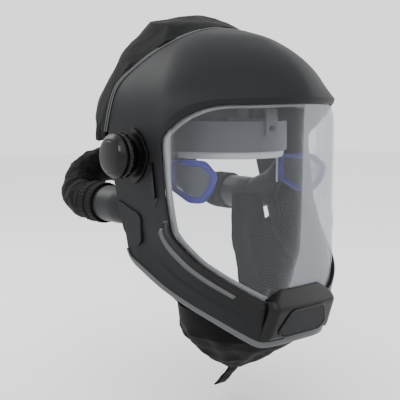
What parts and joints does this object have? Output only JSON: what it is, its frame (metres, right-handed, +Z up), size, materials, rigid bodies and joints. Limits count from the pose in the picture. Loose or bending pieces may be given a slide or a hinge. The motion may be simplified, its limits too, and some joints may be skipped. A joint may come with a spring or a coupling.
{
  "type": "powered air respirator",
  "caption": "Powered air respirator head-top: tilting shell with clear visor, fabric hood and face seal, side air ducts and an adjustable head harness.",
  "frame": {"origin": "middle of the tilt axis, which runs through both side knobs, between the wearer's ears", "axes": "+Z up, -Y the way the wearer looks, +X the wearer's left; the object is symmetric across X"},
  "size_m": [0.299, 0.3417, 0.452],
  "materials": {
    "shell_nylon": "fine textured charcoal moulding",
    "trim_black": "smooth black moulding",
    "rim_grey": "satin mid-grey moulding",
    "clear_visor": "clear polycarbonate",
    "smoke_leaf": "translucent grey plastic",
    "blue_rim": "dark blue soft plastic",
    "duct_grey": "satin dark grey moulding",
    "seal_rubber": "black rubber",
    "black_fabric": "black coated woven fabric",
    "sweat_cloth": "light grey brushed knit over foam",
    "band_grey": "satin grey nylon",
    "plain_steel": "plain steel"
  },
  "bodies": {
    "head_harness": {"headband": "band_grey", "band_rivets": "plain_steel", "sweatband": "sweat_cloth", "cross_strap": "band_grey", "crown_strap": "band_grey", "strap_pins": "trim_black", "hose_carrier": "band_grey", "manifold_bracket": "trim_black", "manifold": "duct_grey", "inlet_seal": "seal_rubber", "pivot_arm_right": "band_grey", "pivot_arm_left": "band_grey", "pivot_stud_right": "plain_steel", "pivot_stud_left": "plain_steel", "pivot_washers_right": "plain_steel", "pivot_washers_left": "plain_steel"},
    "yoke_slider": {"rear_yoke": "band_grey", "rear_pad": "sweat_cloth", "ratchet_housing": "trim_black"},
    "wheel_spindle": {"fit_wheel": "trim_black", "ratchet_pinion": "band_grey"},
    "hose_swivel": {"swivel_ring": "trim_black"},
    "head_shell": {"shell": "shell_nylon", "visor": "clear_visor", "visor_gasket": "seal_rubber", "visor_frame": "trim_black", "rim_trim": "rim_grey", "chin_cover": "shell_nylon", "chin_plate": "rim_grey", "piping": "trim_black", "visor_clips": "rim_grey", "hood": "black_fabric", "face_seal": "black_fabric", "pull_tab": "black_fabric", "side_cover_right": "shell_nylon", "side_cover_left": "shell_nylon", "arc_plate_right": "trim_black", "arc_plate_left": "trim_black", "pivot_bush_right": "band_grey", "pivot_bush_left": "band_grey", "duct_right": "duct_grey", "duct_left": "duct_grey", "air_channel_right": "duct_grey", "air_channel_left": "duct_grey", "cuff_right": "black_fabric", "cuff_left": "black_fabric", "sleeve_right": "black_fabric", "sleeve_left": "black_fabric", "deflector_pin_right": "plain_steel", "deflector_pin_left": "plain_steel"},
    "right_knob": {"knob_right": "trim_black", "knob_cap_right": "trim_black"},
    "left_knob": {"knob_left": "trim_black", "knob_cap_left": "trim_black"},
    "right_latch": {"latch_right": "trim_black"},
    "left_latch": {"latch_left": "trim_black"},
    "right_deflector": {"deflector_rim_right": "blue_rim", "deflector_leaf_right": "smoke_leaf"},
    "left_deflector": {"deflector_rim_left": "blue_rim", "deflector_leaf_left": "smoke_leaf"}
  },
  "joints": [
    {"name": "shell_tilt", "type": "hinge", "parent": "head_harness", "child": "head_shell", "pos_m": [0, 0, 0], "axis": [-1, 0, 0], "range_deg": [0, 50], "deforming": ["hood", "sleeve_right", "sleeve_left"]},
    {"name": "fit_wheel_turn", "type": "hinge", "parent": "yoke_slider", "child": "wheel_spindle", "pos_m": [0, 0.117, 0.021], "axis": [0, 1, 0], "range_deg": [0, 180]},
    {"name": "yoke_slide", "type": "slide", "parent": "head_harness", "child": "yoke_slider", "axis": [0, -1, 0], "range_m": [0, 0.015]},
    {"name": "hose_swivel_turn", "type": "hinge", "parent": "head_harness", "child": "hose_swivel", "pos_m": [0, 0.15, -0.066], "axis": [0, 0, 1], "continuous": true},
    {"name": "right_knob_turn", "type": "hinge", "parent": "head_harness", "child": "right_knob", "pos_m": [-0.135, 0, 0], "axis": [-1, 0, 0], "range_deg": [-90, 90]},
    {"name": "left_knob_turn", "type": "hinge", "parent": "head_harness", "child": "left_knob", "pos_m": [0.135, 0, 0], "axis": [1, 0, 0], "range_deg": [-90, 90]},
    {"name": "right_latch_slide", "type": "slide", "parent": "head_shell", "child": "right_latch", "axis": [0, -0.2, -0.9798], "range_m": [0, 0.004], "stiffness_N_per_m": 300},
    {"name": "left_latch_slide", "type": "slide", "parent": "head_shell", "child": "left_latch", "axis": [0, -0.2, -0.9798], "range_m": [0, 0.004], "stiffness_N_per_m": 300},
    {"name": "right_deflector_swing", "type": "hinge", "parent": "head_shell", "child": "right_deflector", "pos_m": [-0.087, -0.029, -0.023], "axis": [0, 0, 1], "range_deg": [0, 15]},
    {"name": "left_deflector_swing", "type": "hinge", "parent": "head_shell", "child": "left_deflector", "pos_m": [0.087, -0.029, -0.023], "axis": [0, 0, -1], "range_deg": [0, 15]}
  ],
  "couplings": [
    {"joint": "fit_wheel_turn", "follows": "yoke_slide", "rad_per_m": 209.44}
  ]
}
